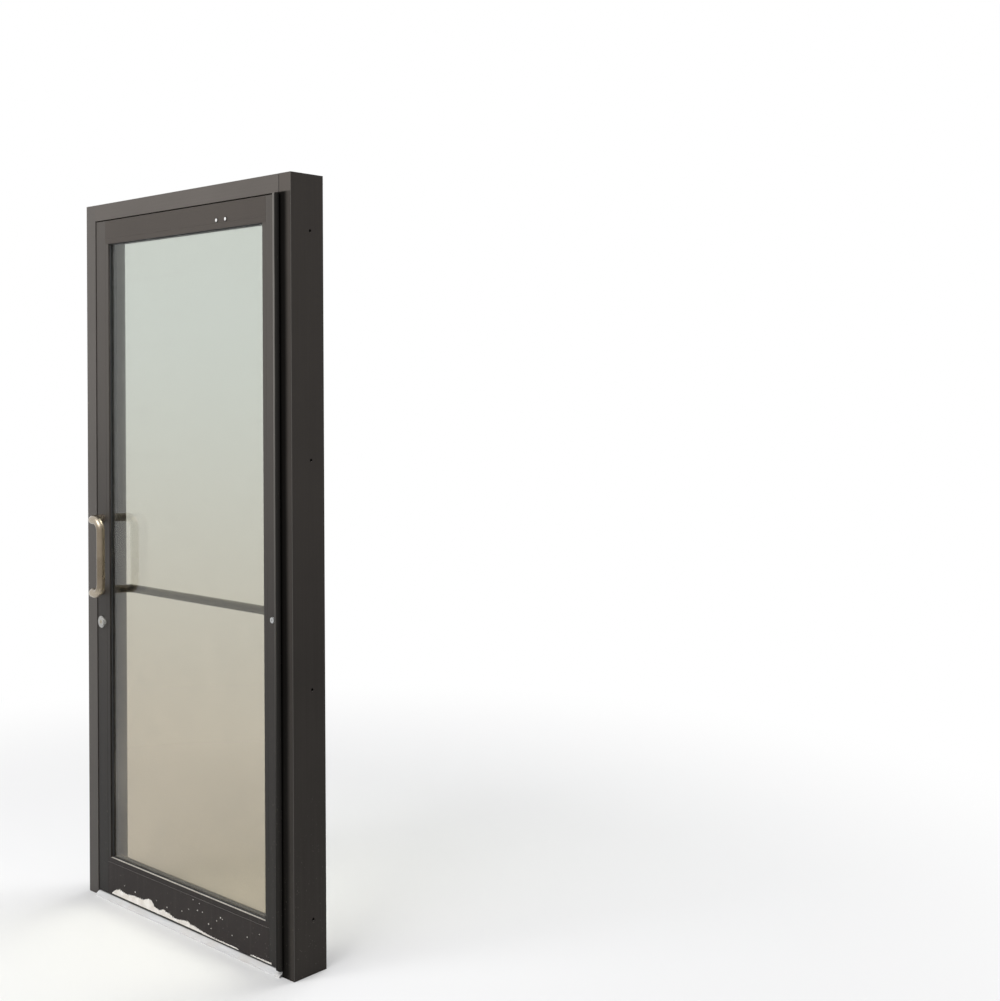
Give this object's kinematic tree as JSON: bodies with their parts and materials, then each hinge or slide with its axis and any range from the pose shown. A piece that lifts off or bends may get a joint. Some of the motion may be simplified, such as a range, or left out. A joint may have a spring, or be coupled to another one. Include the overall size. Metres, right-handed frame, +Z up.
{
  "type": "glass door",
  "caption": "Hinged aluminium glass door in its tube frame, with continuous hinge, offset pull outside, push bar and closer inside, swing bolt lock and saddle threshold.",
  "frame": {"origin": "on the floor, under the middle of the opening and of the frame's depth", "axes": "+X from the lock side to the hinge side, +Y into the building, +Z up"},
  "size_m": [1.016, 0.29, 2.1844],
  "materials": {
    "frame_bronze": "satin anodised dark bronze",
    "leaf_bronze": "satin anodised dark bronze",
    "hinge_bronze": "satin anodised dark bronze",
    "cap_bronze": "satin anodised bronze, lighter",
    "pull_bronze": "satin anodised champagne bronze",
    "closer_paint": "sprayed dark bronze",
    "sweep_bronze": "satin anodised dark bronze",
    "threshold_aluminium": "mill finish, worn by feet",
    "clip_aluminium": "mill finish",
    "spacer_aluminium": "mill finish",
    "glass": "clear, faintly grey",
    "gasket_rubber": "matt black",
    "seal_rubber": "matt black",
    "screw_steel": "zinc plated",
    "lock_steel": "plain",
    "cylinder_chrome": "satin chrome",
    "bolt_chrome": "bright",
    "plug_brass": "nickel-worn brass",
    "bearing_plastic": "plain"
  },
  "bodies": {
    "frame": {"lock_jamb": "frame_bronze", "hinge_jamb": "frame_bronze", "header": "frame_bronze", "header_clips": "clip_aluminium", "threshold": "threshold_aluminium", "frame_screws": "screw_steel", "lock_door_stop": "frame_bronze", "hinge_door_stop": "frame_bronze", "head_door_stop": "frame_bronze", "lock_weatherstrip": "seal_rubber", "hinge_weatherstrip": "seal_rubber", "head_weatherstrip": "seal_rubber", "strike_plate": "lock_steel", "hinge_frame_leaf": "hinge_bronze", "hinge_frame_screws": "screw_steel", "closer_body": "closer_paint", "closer_screws": "closer_paint"},
    "hinge_cap": {"hinge_cap": "cap_bronze", "hinge_bearings": "bearing_plastic"},
    "leaf": {"lock_stile": "leaf_bronze", "hinge_stile": "leaf_bronze", "top_rail": "leaf_bronze", "bottom_rail": "leaf_bronze", "corner_blocks": "clip_aluminium", "tie_rods": "screw_steel", "tie_rod_nuts": "screw_steel", "outer_lock_stop": "leaf_bronze", "outer_hinge_stop": "leaf_bronze", "outer_bottom_stop": "leaf_bronze", "outer_top_stop": "leaf_bronze", "inner_lock_stop": "leaf_bronze", "inner_hinge_stop": "leaf_bronze", "inner_bottom_stop": "leaf_bronze", "inner_top_stop": "leaf_bronze", "outer_gasket": "gasket_rubber", "inner_gasket": "gasket_rubber", "outer_lite": "glass", "inner_lite": "glass", "glass_spacer": "spacer_aluminium", "setting_blocks": "seal_rubber", "hinge_door_leaf": "hinge_bronze", "hinge_door_screws": "screw_steel", "lock_case": "lock_steel", "lock_faceplate": "lock_steel", "outer_cylinder": "cylinder_chrome", "cylinder_collar": "cylinder_chrome", "inner_cylinder": "cylinder_chrome", "pull_handle": "pull_bronze", "push_bar": "leaf_bronze", "handle_bolts": "screw_steel", "closer_shoe": "closer_paint", "shoe_bolts": "bolt_chrome", "sweep_carrier": "sweep_bronze", "sweep_blade": "seal_rubber"},
    "key_plug": {"key_plug": "plug_brass"},
    "thumbturn": {"thumbturn": "cylinder_chrome"},
    "dead_bolt": {"dead_bolt": "lock_steel"},
    "closer_arm": {"closer_arm": "closer_paint", "closer_pinion": "screw_steel"},
    "closer_forearm": {"closer_forearm": "closer_paint"}
  },
  "joints": [
    {"name": "cap_swing", "type": "hinge", "parent": "frame", "child": "hinge_cap", "pos_m": [0.4576, -0.06275, 0.0197], "axis": [0, 0, 1], "range_deg": [0, 45], "stiffness_Nm_per_rad": 60, "springref_deg": -1.72},
    {"name": "leaf_swing", "type": "hinge", "parent": "hinge_cap", "child": "leaf", "pos_m": [0.4488, -0.06275, 0.0197], "axis": [0, 0, 1], "range_deg": [0, 45]},
    {"name": "closer_arm_swing", "type": "hinge", "parent": "frame", "child": "closer_arm", "pos_m": [0.255, 0.08715, 2.11], "axis": [0, 0, 1], "range_deg": [0, 89.4]},
    {"name": "closer_forearm_swing", "type": "hinge", "parent": "leaf", "child": "closer_forearm", "pos_m": [0.1975, 0.0103, 2.099], "axis": [0, 0, 1], "range_deg": [-90.1, 0]},
    {"name": "thumbturn_turn", "type": "hinge", "parent": "leaf", "child": "thumbturn", "pos_m": [-0.4254, -0.01, 0.868], "axis": [0, -1, 0], "range_deg": [0, 90]},
    {"name": "dead_bolt_swing", "type": "hinge", "parent": "leaf", "child": "dead_bolt", "pos_m": [-0.437, -0.03293, 0.845], "axis": [0, -1, 0], "range_deg": [0, 90]},
    {"name": "key_turn", "type": "hinge", "parent": "leaf", "child": "key_plug", "pos_m": [-0.4254, -0.063, 0.868], "axis": [0, -1, 0], "range_deg": [-120, 120]}
  ],
  "couplings": [
    {"joint": "leaf_swing", "follows": "cap_swing", "ratio": 1},
    {"joint": "closer_arm_swing", "follows": "cap_swing", "ratio": 1.9851},
    {"joint": "closer_forearm_swing", "follows": "cap_swing", "ratio": -2.0001},
    {"joint": "dead_bolt_swing", "follows": "thumbturn_turn", "ratio": 1}
  ]
}
